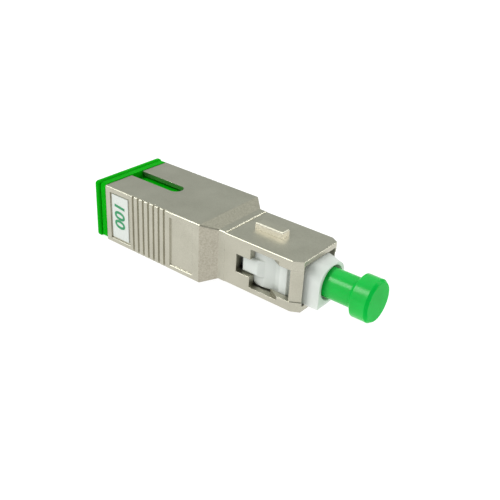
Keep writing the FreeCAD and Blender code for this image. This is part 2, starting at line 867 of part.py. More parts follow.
def ferrule_collar():
    """The metal collar pressed on the ferrule, with its cone, spring spigot and key notches."""
    body = new_body("ferrule_collar")
    profile = [
        (collar_back - s.collar_spigot_length, s.ferrule_radius),
        (collar_front, s.ferrule_radius),
        (collar_front, s.collar_radius - s.collar_cone),
        (collar_front - s.collar_cone, s.collar_radius),
        (collar_back, s.collar_radius),
        (collar_back, s.collar_spigot_radius),
        (collar_back - s.collar_spigot_length, s.collar_spigot_radius),
    ]
    turned(body, "Revolution", "blank", outline(body, "blank_outline", "XY_Plane", profile))
    notch = box_points(
        -s.collar_notch / 2,
        s.collar_notch / 2,
        (s.collar_radius + s.collar_spigot_radius) / 2,
        s.collar_radius + OVERRUN,
    )
    notches = outline(body, "notch_outline", "YZ_Plane", *both_sides(notch), offset=collar_back)
    feature(body, "Pocket", "notches", notches, s.collar_length, reverse=True)
    return body


def doped_fibre():
    """The light-absorbing fibre along the whole ferrule."""
    fibre = doc.addObject("Part::Cylinder", "doped_fibre")
    fibre.Label = "doped_fibre"
    fibre.setExpression("Radius", s.fibre_radius.text)
    fibre.setExpression("Height", (s.ferrule_length - s.polish_drop * 2).text)
    fibre.Placement.Rotation = FreeCAD.Rotation(FreeCAD.Vector(0, 1, 0), 90)
    fibre.setExpression("Placement.Base.x", (mating_plane + s.polish_drop).text)
    return fibre


def ferrule_cap():
    """The pull-off cap: barrel, cone and knob, with a blind bore over the ferrule."""
    body = new_body("ferrule_cap")
    mouth = ferrule_tip - s.cap_grip
    cone_start = mouth + s.cap_barrel_length
    knob_start = cone_start + s.cap_cone_length
    knob_edge = knob_start + s.cap_knob_length
    bore_end = ferrule_tip + s.cap_tip_gap
    profile = [
        (mouth, s.cap_bore_radius),
        (mouth, s.cap_barrel_radius),
        (cone_start, s.cap_barrel_radius),
        (knob_start, s.cap_knob_radius),
        (knob_edge, s.cap_knob_radius),
        (knob_edge + s.cap_edge_length, s.cap_knob_radius - s.cap_edge_depth),
        (knob_edge + s.cap_edge_length, 0),
        (bore_end, 0),
        (bore_end, s.cap_bore_radius),
    ]
    turned(body, "Revolution", "cap", outline(body, "cap_outline", "XY_Plane", profile))
    return body


def dust_plug():
    """The receptacle's plug: a two-layer flange and a hollow insert with cut-back sides."""
    body = new_body("dust_plug")
    flange_front = -s.flange_gap
    flange_back = flange_front - s.flange_length
    rim_front = flange_back - s.flange_groove_length
    rim_back = rim_front - s.rim_length
    rim = rounded(
        body, "rim_outline", rim_back, s.rim_width, s.rim_height, s.flange_round, s.flange_lift
    )
    feature(body, "Pad", "rim", rim, s.rim_length)
    ends = (rim_back.value, rim_front.value)

    def on_rim_ends(point):
        """Tells the outlines of the rim's two end faces."""
        return any(abs(point.x - end) < NEAR for end in ends)

    rounding(body, "rim_rounding", s.flange_edge, on_rim_ends)
    web = rounded(
        body,
        "web_outline",
        rim_front,
        s.flange_width - s.flange_groove_depth * 2,
        s.flange_height - s.flange_groove_depth * 2,
        s.flange_round,
        s.flange_lift,
    )
    feature(body, "Pad", "web", web, s.flange_groove_length)
    flange = rounded(
        body,
        "flange_outline",
        flange_back,
        s.flange_width,
        s.flange_height,
        s.flange_round,
        s.flange_lift,
    )
    feature(body, "Pad", "flange", flange, s.flange_length)
    insert_width = cavity_width - s.insert_side_gap * 2
    insert_height = cavity_height - s.insert_top_gap * 2
    insert = rounded(
        body, "insert_outline", flange_front, insert_width, insert_height, s.flange_round
    )
    feature(body, "Pad", "insert", insert, s.insert_length)
    insert_front = flange_front + s.insert_length
    hollow = rounded(
        body,
        "hollow_outline",
        insert_front,
        insert_width - s.insert_wall * 2,
        insert_height - s.insert_wall * 2,
        s.flange_round,
    )
    feature(body, "Pocket", "hollow", hollow, s.insert_length)
    cut_points = box_points(
        hook_tip - s.insert_cut_gap,
        insert_front + OVERRUN,
        -insert_width / 2 - OVERRUN,
        insert_width / 2 + OVERRUN,
    )
    cut = outline(body, "arm_cut_outline", "XY_Plane", cut_points)
    feature(body, "Pocket", "arm_cut", cut, insert_height - s.insert_wall * 2, side="Symmetric")
    return body


PIECES = [
    metal_shell,
    side_label,
    plug_frame,
    rear_latch,
    split_sleeve,
    stop_ring,
    coil_spring,
    ferrule,
    ferrule_collar,
    doped_fibre,
    ferrule_cap,
    dust_plug,
]


def check_document():
    """Stops the build if any object of the document failed."""
    for item in doc.Objects:
        if "Invalid" in item.State or "Error" in item.State:
            raise RuntimeError(f"{item.Name} failed: {item.State}")


def check_piece(piece):
    """Stops the build if a piece is empty or isn't a valid solid."""
    if piece.Shape.isNull() or not piece.Shape.isValid() or not piece.Shape.Solids:
        raise RuntimeError(f"{piece.Label} isn't a valid solid")


pieces = [make() for make in PIECES]
doc.recompute()
check_document()
for piece in pieces:
    check_piece(piece)
os.makedirs("parts", exist_ok=True)
for piece in pieces:
    piece.Shape.exportStep(f"parts/{piece.Label}.step")
    box = piece.Shape.BoundBox
    print(
        f"{piece.Label}: {len(piece.Shape.Solids)} solid, {piece.Shape.Volume:.2f} mm3, "
        f"x {box.XMin:.2f} to {box.XMax:.2f}, y {box.YMin:.2f} to {box.YMax:.2f}, "
        f"z {box.ZMin:.2f} to {box.ZMax:.2f}"
    )
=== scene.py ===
"""Finishes, printed label, stage and camera for a plug-style fibre attenuator.

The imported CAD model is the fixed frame: every form comes from it, and this script gives its pieces
their surfaces. The fibre runs along X, the plug's key is on the +Z side and the label on the -Y
side. Finishes, pieces and the camera give lengths in millimetres, the studio gives them in metres,
and angles are in degrees.
"""

import json
import logging
import math
from dataclasses import dataclass
from enum import Enum
from typing import ClassVar

import bmesh
import bpy
from mathutils import Matrix, Vector

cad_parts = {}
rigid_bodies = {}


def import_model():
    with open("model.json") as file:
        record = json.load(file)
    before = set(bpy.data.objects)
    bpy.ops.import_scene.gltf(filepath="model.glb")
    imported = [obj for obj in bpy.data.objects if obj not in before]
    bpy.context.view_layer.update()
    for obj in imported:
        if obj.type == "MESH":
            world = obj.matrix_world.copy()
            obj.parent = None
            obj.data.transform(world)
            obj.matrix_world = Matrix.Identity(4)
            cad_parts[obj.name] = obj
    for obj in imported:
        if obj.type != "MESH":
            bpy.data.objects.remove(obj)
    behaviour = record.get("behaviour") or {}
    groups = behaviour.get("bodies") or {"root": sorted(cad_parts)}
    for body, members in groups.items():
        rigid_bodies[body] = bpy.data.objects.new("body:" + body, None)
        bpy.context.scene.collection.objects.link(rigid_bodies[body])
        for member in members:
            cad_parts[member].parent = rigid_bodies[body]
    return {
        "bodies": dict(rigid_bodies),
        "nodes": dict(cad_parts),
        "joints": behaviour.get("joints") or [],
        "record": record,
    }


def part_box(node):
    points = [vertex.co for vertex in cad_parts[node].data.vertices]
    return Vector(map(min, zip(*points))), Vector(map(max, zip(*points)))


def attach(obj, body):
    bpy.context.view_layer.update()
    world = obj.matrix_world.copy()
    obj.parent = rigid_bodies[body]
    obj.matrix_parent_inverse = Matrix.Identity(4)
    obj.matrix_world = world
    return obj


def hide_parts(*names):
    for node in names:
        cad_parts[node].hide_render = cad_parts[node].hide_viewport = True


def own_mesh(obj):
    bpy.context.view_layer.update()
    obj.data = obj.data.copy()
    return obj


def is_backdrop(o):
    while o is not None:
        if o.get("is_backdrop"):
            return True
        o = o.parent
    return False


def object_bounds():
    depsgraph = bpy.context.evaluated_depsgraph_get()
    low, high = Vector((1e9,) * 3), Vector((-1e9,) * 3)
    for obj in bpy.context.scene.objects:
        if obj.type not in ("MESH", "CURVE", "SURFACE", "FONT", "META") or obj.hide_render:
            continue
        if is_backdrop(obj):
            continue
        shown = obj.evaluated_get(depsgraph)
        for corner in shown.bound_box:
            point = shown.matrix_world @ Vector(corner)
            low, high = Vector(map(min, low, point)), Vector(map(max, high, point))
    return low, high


LOG = logging.getLogger("fibre_attenuator")
MM = 0.001
PHOTO_PIXELS = 500
MERGE_DISTANCE = 0.001 * MM
NOISE_LOW = 0.3
NOISE_HIGH = 0.7
NOISE_ROUGHNESS = 0.55

Socket = bpy.types.NodeSocket


def linear(hex_code: str) -> tuple[float, float, float, float]:
    """Turns an sRGB hex colour into linear light.

    Args:
        hex_code: six hex digits, with or without a leading hash.

    Returns:
        Red, green, blue and an alpha of 1.
    """
    digits = hex_code.lstrip("#")
    values = [int(digits[place : place + 2], 16) / 255 for place in (0, 2, 4)]
    light = [v / 12.92 if v <= 0.04045 else ((v + 0.055) / 1.055) ** 2.4 for v in values]
    return (light[0], light[1], light[2], 1.0)


def towards(azimuth: float, elevation: float) -> Vector:
    """The direction from the part to one side of the studio.

    Args:
        azimuth: the angle from the label's side round to the plug end.
        elevation: the angle above the floor.

    Returns:
        The direction, of length 1.
    """
    side = math.radians(azimuth)
    rise = math.radians(elevation)
    return Vector(
        (math.sin(side) * math.cos(rise), -math.cos(side) * math.cos(rise), math.sin(rise))
    )


def add_object(name: str, data: bpy.types.ID) -> bpy.types.Object:
    """Puts a mesh, a text, a lamp or a camera into the scene, at the origin.

    Args:
        name: the object's name.
        data: what the object shows.

    Returns:
        The new object.
    """
    made = bpy.data.objects.new(name, data)
    bpy.context.scene.collection.objects.link(made)
    return made


def add_node(
    tree: bpy.types.NodeTree,
    kind: str,
    settings: dict[str | int, object] | None = None,
    links: dict[str | int, Socket] | None = None,
) -> bpy.types.Node:
    """Adds a node with its settings and its incoming links.

    Args:
        tree: the node tree that the node goes into.
        kind: the node's type name.
        settings: values by the name of a node property, or by the name or number of an input.
        links: source sockets by the name or number of the input that they go into.

    Returns:
        The new node.
    """
    node = tree.nodes.new(kind)
    for name, value in (settings or {}).items():
        if isinstance(name, str) and name in node.bl_rna.properties:
            setattr(node, name, value)
        else:
            node.inputs[name].default_value = value
    for name, source in (links or {}).items():
        tree.links.new(source, node.inputs[name])
    return node


def per_mm(size: float) -> float:
    """The scale of a pattern whose features are size millimetres apart, in metre coordinates."""
    return 1.0 / (size * MM)


class Pattern:
    """A material under construction: its tree, its shader and the object's own coordinates."""

    def __init__(self, name: str) -> None:
        """Starts an empty material with a Principled shader.

        Args:
            name: the material's name.
        """
        self.material = bpy.data.materials.new(name)
        self.material.use_nodes = True
        self.tree = self.material.node_tree
        self.tree.nodes.clear()
        self.shader = add_node(self.tree, "ShaderNodeBsdfPrincipled")
        surface = self.shader.outputs["BSDF"]
        add_node(self.tree, "ShaderNodeOutputMaterial", links={"Surface": surface})
        self.place = add_node(self.tree, "ShaderNodeTexCoord").outputs["Object"]

    def noise(
        self,
        size: float,
        detail: float = 2.0,
        stretch: tuple[float, float, float] | None = None,
    ) -> Socket:
        """A noise of the given feature size.

        Args:
            size: the feature size in millimetres.
            detail: how many finer octaves it has.
            stretch: how much the pattern is drawn out along each axis, 1 for not at all.

        Returns:
            The noise's value, about 0.5 on average.
        """
        place = self.place
        if stretch is not None:
            scale = tuple(1 / length for length in stretch)
            place = add_node(
                self.tree, "ShaderNodeMapping", {"Scale": scale}, {"Vector": place}
            ).outputs["Vector"]
        settings = {"Scale": per_mm(size), "Detail": detail, "Roughness": NOISE_ROUGHNESS}
        return add_node(
            self.tree, "ShaderNodeTexNoise", settings, {"Vector": place}
        ).outputs["Fac"]

    def spread(
        self,
        value: Socket,
        low: float,
        high: float,
        start: float = NOISE_LOW,
        end: float = NOISE_HIGH,
    ) -> Socket:
        """Maps a value from start to end onto low to high.

        Args:
            value: the socket to map.
            low: the result at start.
            high: the result at end.
            start: where the ramp begins, which is a noise's usual low unless given.
            end: where the ramp ends, which is a noise's usual high unless given.

        Returns:
            The mapped value.
        """
        settings = {"From Min": start, "From Max": end, "To Min": low, "To Max": high}
        return add_node(
            self.tree, "ShaderNodeMapRange", settings, {"Value": value}
        ).outputs["Result"]

    def colour(self, noise: Socket, dark: str, light: str) -> Socket:
        """A colour that follows a noise.

        Args:
            noise: the noise.
            dark: the hex colour where the noise is low.
            light: the hex colour where it is high.

        Returns:
            The mixed colour.
        """
        share = self.spread(noise, 0.0, 1.0)
        ramp = add_node(self.tree, "ShaderNodeValToRGB", links={"Fac": share})
        ramp.color_ramp.elements[0].color = linear(dark)
        ramp.color_ramp.elements[1].color = linear(light)
        return ramp.outputs["Color"]

    def blend(
        self,
        first: Socket | float,
        second: Socket | float,
        share: Socket | float,
        kind: str = "FLOAT",
    ) -> Socket:
        """Mixes two values or two colours.

        Args:
            first: what there is at a share of 0.
            second: what there is at a share of 1.
            share: how much of the second is in the mix.
            kind: FLOAT for values and RGBA for colours.

        Returns:
            The mix.
        """
        mix = self.tree.nodes.new("ShaderNodeMix")
        mix.data_type = kind
        places = [socket for socket in mix.inputs if socket.enabled]
        for place, source in zip(places, (share, first, second)):
            if isinstance(source, Socket):
                self.tree.links.new(source, place)
            else:
                place.default_value = source
        return next(socket for socket in mix.outputs if socket.enabled)

    def band(self, start: float, end: float, axis: str = "X") -> Socket:
        """A mask across one axis.

        Args:
            start: where the band begins along the axis, in millimetres.
            end: where it ends.
            axis: the axis, which is the fibre's unless another is given.

        Returns:
            1 inside the band and 0 outside.
        """
        place = add_node(self.tree, "ShaderNodeSeparateXYZ", links={"Vector": self.place})
        return add_node(
            self.tree,
            "ShaderNodeMath",
            {"operation": "COMPARE", 1: (start + end) / 2 * MM, 2: (end - start) / 2 * MM},
            {0: place.outputs[axis]},
        ).outputs["Value"]

    def overlap(self, first: Socket, second: Socket) -> Socket:
        """Cuts one mask by another.

        Args:
            first: the one mask.
            second: the other mask.

        Returns:
            1 where both are 1 and 0 elsewhere.
        """
        return add_node(
            self.tree, "ShaderNodeMath", {"operation": "MULTIPLY"}, {0: first, 1: second}
        ).outputs["Value"]

    def bump(self, height: Socket, depth: float, normal: Socket | None = None) -> Socket:
        """Raises the surface by a height map.

        Args:
            height: the height, from 0 to 1.
            depth: how many millimetres 1 stands for.
            normal: the normal of a coarser bump below this one.

        Returns:
            The bumped normal.
        """
        links = {"Height": height}
        if normal is not None:
            links["Normal"] = normal
        return add_node(
            self.tree, "ShaderNodeBump", {"Strength": 1.0, "Distance": depth * MM}, links
        ).outputs["Normal"]

    def turn(self, normal: Socket) -> Socket:
        """How far a normal is turned away from the form's own.

        Args:
            normal: the turned normal.

        Returns:
            0 where both are the same, up to 1 at a right angle.
        """
        own = add_node(self.tree, "ShaderNodeNewGeometry").outputs["Normal"]
        aligned = add_node(
            self.tree, "ShaderNodeVectorMath", {"operation": "DOT_PRODUCT"}, {0: own, 1: normal}
        ).outputs["Value"]
        return add_node(
            self.tree, "ShaderNodeMath", {"operation": "SUBTRACT", 0: 1.0}, {1: aligned}
        ).outputs["Value"]

    def feed(self, **links: Socket) -> None:
        """Links sockets to the shader's inputs, with underscores for spaces."""
        for name, source in links.items():
            self.tree.links.new(source, self.shader.inputs[name.replace("_", " ")])

    def set(self, **values: object) -> None:
        """Sets plain values on the shader's own inputs, with underscores for spaces."""
        for name, value in values.items():
            self.shader.inputs[name.replace("_", " ")].default_value = value


@dataclass(frozen=True)
class SatinNickel:
    """Satin nickel plate over a zinc die casting.

    It has a fine grain, drawn 0.15 mm coarse so that it shows, and soft clouds. The edges are
    rounded and bright, and edge_turn is how far the normal has turned where they are brightest.
    The taper has a coarser grain, and its darker, browner colour is painted shade. The key is
    duller, and its flanks are coloured lighter as a painted highlight. The taper and the key are
    stretches along
    X, the key's sides a stretch along Y, and both rises stretches along Z.
    """

    name: str = "satin_nickel_plate"
    light: str = "C2BFB0"
    dark: str = "AAA798"
    grain: float = 0.15
    grain_depth: float = 0.008
    cloud: float = 3.5
    cloud_share: float = 0.4
    roughness: tuple[float, float] = (0.31, 0.4)
    edge: float = 0.1
    edge_samples: int = 8
    edge_turn: float = 0.06
    edge_roughness: float = 0.1
    taper: tuple[float, float] = (18.17, 20.06)
    # Painted shade: the taper's darker, browner colours.
    taper_shade_light: str = "B6B1A2"
    taper_shade_dark: str = "9F9A8B"
    taper_grain: float = 0.22
    taper_depth: float = 0.014
    key: tuple[float, float] = (22.9, 28.0)
    key_sides: tuple[float, float] = (-1.0, 1.0)
    key_rise: tuple[float, float] = (3.72, 5.0)
    key_roughness: float = 0.48
    # Painted highlight: the key's flanks are coloured lighter, up to this rise.
    lit_flank_rise: tuple[float, float] = (3.72, 4.5)
    flank_highlight_light: str = "DFDAD0"
    flank_highlight_dark: str = "D4CFC4"

    def build(self) -> bpy.types.Material:
        """Builds the plated metal.

        Returns:
            The finished material.
        """
        pattern = Pattern(self.name)
        grain = pattern.noise(self.grain, detail=3.0)
        coarse = pattern.noise(self.taper_grain)
        taper = pattern.band(*self.taper)
        key = pattern.overlap(pattern.band(*self.key), pattern.band(*self.key_sides, "Y"))
        rounded = self.soft_edges(pattern, key)
        fine = pattern.bump(grain, self.grain_depth, rounded)
        pitted = pattern.bump(coarse, self.taper_depth, fine)
        pattern.tree.links.new(taper, pitted.node.inputs["Strength"])
        satin = pattern.spread(grain, *self.roughness)
        polish = pattern.spread(pattern.turn(rounded), 0.0, 1.0, start=0.0, end=self.edge_turn)
        edged = pattern.blend(satin, self.edge_roughness, polish)
        dull = pattern.overlap(key, pattern.band(*self.key_rise, "Z"))
        pattern.set(Metallic=1.0)
        pattern.feed(
            Base_Color=self.tint(pattern, grain, coarse, taper, key),
            Roughness=pattern.blend(edged, self.key_roughness, dull),
            Normal=pitted,
        )
        return pattern.material

    def tint(
        self, pattern: Pattern, grain: Socket, coarse: Socket, taper: Socket, key: Socket
    ) -> Socket:
        """Colours the plain plate, the taper with painted shade and the key's flanks with a painted
        highlight.

        Args:
            pattern: the material under construction.
            grain: the plate's fine noise.
            coarse: the taper's noise.
            taper: a mask that is 1 on the taper.
            key: a mask that is 1 at the key.

        Returns:
            The metal's colour.
        """
        cloud = pattern.noise(self.cloud, detail=3.0)
        tone = pattern.blend(grain, cloud, self.cloud_share)
        plain = pattern.colour(tone, self.dark, self.light)
        # Painted shade on the taper and a painted highlight on the key's flanks.
        shaded_taper = pattern.colour(coarse, self.taper_shade_dark, self.taper_shade_light)
        lighter = pattern.colour(tone, self.flank_highlight_dark, self.flank_highlight_light)
        lit_flank = pattern.overlap(key, pattern.band(*self.lit_flank_rise, "Z"))
        tapered = pattern.blend(plain, shaded_taper, taper, "RGBA")
        return pattern.blend(tapered, lighter, lit_flank, "RGBA")

    def soft_edges(self, pattern: Pattern, key: Socket) -> Socket:
        """Rounds the cast edges in the shading.

        The key is left out, because its edges are round in the form itself.

        Args:
            pattern: the material under construction.
            key: a mask that is 1 at the key.

        Returns:
            The rounded normal.
        """
        radius = pattern.spread(key, self.edge * MM, 0.0, start=0.0, end=1.0)
        return add_node(
            pattern.tree, "ShaderNodeBevel", {"samples": self.edge_samples}, {"Radius": radius}
        ).outputs["Normal"]


@dataclass(frozen=True)
class MouldedPlastic:
    """An injection moulded plastic: soft sheen and slight milkiness.

    The grain that its mould gives it is drawn 0.14 mm coarse so that it shows. The stretch along X
    that matt_end gives has hardly any shine, as the cap's end disc shows in the photo.
    """

    name: str
    light: str
    dark: str
    roughness: tuple[float, float] = (0.34, 0.44)
    milkiness: float = 0.15
    reach: float = 0.6
    cloud: float = 4.0
    grain: float = 0.14
    grain_depth: float = 0.003
    gloss: float = 0.4
    edge: float = 0.05
    edge_samples: int = 6
    matt_end: tuple[float, float] | None = None
    matt_gloss: float = 0.03

    def build(self) -> bpy.types.Material:
        """Builds the moulded plastic.

        Returns:
            The finished material.
        """
        pattern = Pattern(self.name)
        cloud = pattern.noise(self.cloud)
        grain = pattern.noise(self.grain)
        settings = {"samples": self.edge_samples, "Radius": self.edge * MM}
        edges = add_node(pattern.tree, "ShaderNodeBevel", settings).outputs["Normal"]
        pattern.set(
            Specular_IOR_Level=self.gloss,
            Subsurface_Weight=self.milkiness,
            Subsurface_Radius=(self.reach, self.reach, self.reach),
            Subsurface_Scale=MM,
        )
        pattern.feed(
            Base_Color=pattern.colour(cloud, self.dark, self.light),
            Roughness=pattern.spread(grain, *self.roughness),
            Normal=pattern.bump(grain, self.grain_depth, edges),
        )
        if self.matt_end is not None:
            matt = pattern.band(*self.matt_end)
            gloss = pattern.spread(matt, self.gloss, self.matt_gloss, start=0.0, end=1.0)
            pattern.feed(Specular_IOR_Level=gloss)
        return pattern.material


@dataclass(frozen=True)
class LabelPaper:
    """Coated label stock: matte white with faint fibres, drawn 0.2 mm long so that they show."""

    name: str = "coated_label_paper"
    light: str = "DADDD8"
    dark: str = "D0D4CE"
    ior: float = 1.45
    roughness: tuple[float, float] = (0.55, 0.7)
    fibre: float = 0.2
    fibre_stretch: tuple[float, float, float] = (1.0, 1.0, 2.5)
    fibre_depth: float = 0.002

    def build(self) -> bpy.types.Material:
        """Builds the paper.

        Returns:
            The finished material.
        """
        pattern = Pattern(self.name)
        fibres = pattern.noise(self.fibre, detail=3.0, stretch=self.fibre_stretch)
        pattern.set(IOR=self.ior)
        pattern.feed(
            Base_Color=pattern.colour(fibres, self.dark, self.light),
            Roughness=pattern.spread(fibres, *self.roughness),
            Normal=pattern.bump(fibres, self.fibre_depth),
        )
        return pattern.material


@dataclass(frozen=True)
class PrintingInk:
    """Green thermal-transfer ink: flat, with the slightly uneven cover of a label printer."""

    name: str = "green_printing_ink"
    light: str = "2F9C66"
    dark: str = "1C7F50"
    ior: float = 1.5
    roughness: tuple[float, float] = (0.45, 0.6)
    cover: float = 0.25

    def build(self) -> bpy.types.Material:
        """Builds the ink.

        Returns:
            The finished material.
        """
        pattern = Pattern(self.name)
        cover = pattern.noise(self.cover)
        pattern.set(IOR=self.ior)
        pattern.feed(
            Base_Color=pattern.colour(cover, self.dark, self.light),
            Roughness=pattern.spread(cover, *self.roughness),
        )
        return pattern.material


@dataclass(frozen=True)
class SinteredCeramic:
    """Sintered and ground zirconia: warm white and dense, with a near polish.

    The grinding lines run round the fibre axis, drawn 0.1 mm apart so that they show.
    """

    name: str = "ground_zirconia"
    light: str = "F2EFE6"
    dark: str = "E8E3D6"
    ior: float = 2.15
    roughness: tuple[float, float] = (0.12, 0.2)
    milkiness: float = 0.2
    reach: tuple[float, float, float] = (0.4, 0.35, 0.3)
    cloud: float = 1.2
    grinding: float = 0.1
    grinding_stretch: tuple[float, float, float] = (0.4, 4.0, 4.0)
    grinding_depth: float = 0.001

    def build(self) -> bpy.types.Material:
        """Builds the ceramic.

        Returns:
            The finished material.
        """
        pattern = Pattern(self.name)
        cloud = pattern.noise(self.cloud)
        grinding = pattern.noise(self.grinding, detail=1.0, stretch=self.grinding_stretch)
        pattern.set(
            IOR=self.ior,
            Subsurface_Weight=self.milkiness,
            Subsurface_Radius=self.reach,
            Subsurface_Scale=MM,
        )
        pattern.feed(
            Base_Color=pattern.colour(cloud, self.dark, self.light),
            Roughness=pattern.spread(grinding, *self.roughness),
            Normal=pattern.bump(grinding, self.grinding_depth),
        )
        return pattern.material


@dataclass(frozen=True)
class WorkedMetal:
    """A turned or drawn metal: fine tool lines round the fibre axis, coarse enough to show."""

    name: str
    light: str
    dark: str
    line: float = 0.12
    line_stretch: tuple[float, float, float] = (1.0, 8.0, 8.0)
    line_depth: float = 0.003
    roughness: tuple[float, float] = (0.22, 0.34)

    def build(self) -> bpy.types.Material:
        """Builds the worked metal.

        Returns:
            The finished material.
        """
        pattern = Pattern(self.name)
        lines = pattern.noise(self.line, stretch=self.line_stretch)
        pattern.set(Metallic=1.0)
        pattern.feed(
            Base_Color=pattern.colour(lines, self.dark, self.light),
            Roughness=pattern.spread(lines, *self.roughness),
            Normal=pattern.bump(lines, self.line_depth),
        )
        return pattern.material


@dataclass(frozen=True)
class FusedSilica:
    """Drawn silica glass fibre: clear, with the faint grey of its absorbing core."""

    name: str = "drawn_silica_glass"
    light: str = "EEF4F6"
    dark: str = "DDE6EA"
    ior: float = 1.458
    clearness: float = 0.85
    roughness: float = 0.03
    core: float = 0.5

    def build(self) -> bpy.types.Material:
        """Builds the glass.

        Returns:
            The finished material.
        """
        pattern = Pattern(self.name)
        core = pattern.noise(self.core, detail=1.0)
        pattern.set(IOR=self.ior, Transmission_Weight=self.clearness, Roughness=self.roughness)
        pattern.feed(Base_Color=pattern.colour(core, self.dark, self.light))
        return pattern.material


class Finish(Enum):
    """The finishes of the attenuator's pieces, by where they are."""

    SHELL = SatinNickel()
    LABEL = LabelPaper()
    PRINT = PrintingInk()
    # Thick white plastic takes light in, so its shadows stay soft.
    FRAME = MouldedPlastic("moulded_white_pbt", "D9DCD7", "D1D5D0", milkiness=0.45, reach=1.2)
    # The same white plastic, coloured a little greyer: painted shade for the shade it sits in inside
    # the shell.
    LATCH = MouldedPlastic("moulded_white_pbt_painted_shade", "CCD0D1", "C2C7C8")
    # Waxy and bright, with a soft shine along its barrel.
    CAP = MouldedPlastic(
        "soft_green_polyethylene",
        "0CBE46",
        "08B23E",
        (0.18, 0.26),
        milkiness=0.3,
        reach=0.9,
        gloss=0.26,
        matt_end=(41.68, 42.2),
    )
    # A deeper green with hardly any shine.
    DUST_PLUG = MouldedPlastic(
        "deep_green_polyethylene", "01AA09", "009E06", (0.3, 0.4), milkiness=0.15, gloss=0.02
    )
    CERAMIC = SinteredCeramic()
    # A warm white metal with the lathe's rings.
    COLLAR = WorkedMetal("turned_nickel_brass", "D2CCB8", "BFB8A2")
    # A cooler grey with lines that follow the coiled wire.
    SPRING = WorkedMetal("drawn_spring_steel", "B9BBBC", "9FA2A4", line=0.2)
    GLASS = FusedSilica()


class Finishes:
    """Builds each finish once and hands it out."""

    def __init__(self) -> None:
        """Starts with no finish built."""
        self.made: dict[Finish, bpy.types.Material] = {}

    def get(self, finish: Finish) -> bpy.types.Material:
        """Gives the material of a finish, built at its first use.

        Args:
            finish: the finish that is wanted.

        Returns:
            The finish's material.
        """
        if finish not in self.made:
            self.made[finish] = finish.value.build()
        return self.made[finish]


@dataclass
class Assembly:
    """Pieces that belong together, each with its finish."""

    finishes: Finishes
    frame: dict[str, object]
    dressing: ClassVar[dict[str, Finish]] = {}

    def build(self) -> None:
        """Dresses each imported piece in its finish."""
        for node, finish in self.dressing.items():
            self.dress(self.frame["nodes"][node], finish)

    def dress(self, piece: bpy.types.Object, finish: Finish) -> None:
        """Gives a piece one finish all over.

        Args:
            piece: the object to dress.
            finish: its finish.
        """
        material = self.finishes.get(finish)
        piece.data.materials.clear()
        piece.data.materials.append(material)
        LOG.info("%s is dressed in %s", piece.name, material.name)


@dataclass
class MetalHousing(Assembly):
    """The plated shell with its printed label.

    The print is moved from the label's middle by print_shift, along X and along Z.
    """

    dressing: ClassVar[dict[str, Finish]] = {
        "metal_shell": Finish.SHELL,
        "side_label": Finish.LABEL,
    }
    body: str = "housing"
    digits: str = "100"
    digit_height: float = 1.95
    digit_share: float = 0.7
    digit_spacing: float = 1.0
    digit_weight: float = 0.07
    print_thickness: float = 0.012
    print_lift: float = 0.012
    print_slant: float = 0.12
    print_shift: tuple[float, float] = (-0.2, 0.45)

    def build(self) -> None:
        """Dresses the shell and the label, and prints the number."""
        super().build()
        self.print_number()

    def cast_digits(self) -> bpy.types.Mesh:
        """Makes the number as a thin solid that lies at the origin.

        The text's size counts its whole line, of which a digit's height is only digit_share.

        Returns:
            The number's mesh.
        """
        text = bpy.data.curves.new("label_number_outline", "FONT")
        text.body = self.digits
        text.size = self.digit_height * MM / self.digit_share
        text.shear = self.print_slant
        text.space_character = self.digit_spacing
        text.offset = self.digit_weight * MM
        text.extrude = self.print_thickness * MM / 2
        text.align_x = "CENTER"
        text.align_y = "CENTER"
        outline = add_object("label_number_outline", text)
        bpy.context.view_layer.update()
        depsgraph = bpy.context.evaluated_depsgraph_get()
        mesh = bpy.data.meshes.new_from_object(outline.evaluated_get(depsgraph))
        bpy.data.objects.remove(outline)
        bpy.data.curves.remove(text)
        mesh.name = "label_number"
        return mesh

    def print_number(self) -> bpy.types.Object:
        """Sets a plain number on the label, to be read with the plug end down.

        Returns:
            The printed number.
        """
        low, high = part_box("side_label")
        along, rise = self.print_shift
        middle = Vector(
            (
                (low.x + high.x) / 2 + along * MM,
                low.y - self.print_lift * MM,
                (low.z + high.z) / 2 + rise * MM,
            )
        )
        upright = Matrix.Rotation(math.radians(90), 4, "X")
        downward = Matrix.Rotation(math.radians(90), 4, "Y")
        mesh = self.cast_digits()
        mesh.transform(Matrix.Translation(middle) @ downward @ upright)
        number = add_object("label_number", mesh)
        self.dress(number, Finish.PRINT)
        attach(number, self.body)
        return number


@dataclass
class PlugCore(Assembly):
    """The white frame, the clip with its latch arms, and the parts that they hold."""

    dressing: ClassVar[dict[str, Finish]] = {
        "plug_frame": Finish.FRAME,
        "rear_latch": Finish.LATCH,
        "stop_ring": Finish.LATCH,
        "split_sleeve": Finish.CERAMIC,
        "coil_spring": Finish.SPRING,
    }
    body: str = "core"
    float_joint: str = "ferrule_float"

    def build(self) -> None:
        """Dresses each piece of the core and shows a merged copy of its spring."""
        super().build()
        self.free_spring()

    def copy_wire(self) -> bpy.types.Mesh:
        """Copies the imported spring's wire, merged so that it is closed.

        Returns:
            The wire's mesh, in its place.
        """
        packed = self.frame["nodes"]["coil_spring"]
        wire = bmesh.new()
        wire.from_mesh(packed.data)
        wire.transform(packed.matrix_world)
        bmesh.ops.remove_doubles(wire, verts=wire.verts, dist=MERGE_DISTANCE)
        mesh = bpy.data.meshes.new("ferrule_spring")
        wire.to_mesh(mesh)
        wire.free()
        return mesh

    def free_spring(self) -> bpy.types.Object:
        """Shows the spring as merged wire in place of the imported one.

        Returns:
            The spring that shows.
        """
        spring = add_object("ferrule_spring", self.copy_wire())
        self.dress(spring, Finish.SPRING)
        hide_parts("coil_spring")
        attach(spring, self.body)
        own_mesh(spring)
        return spring


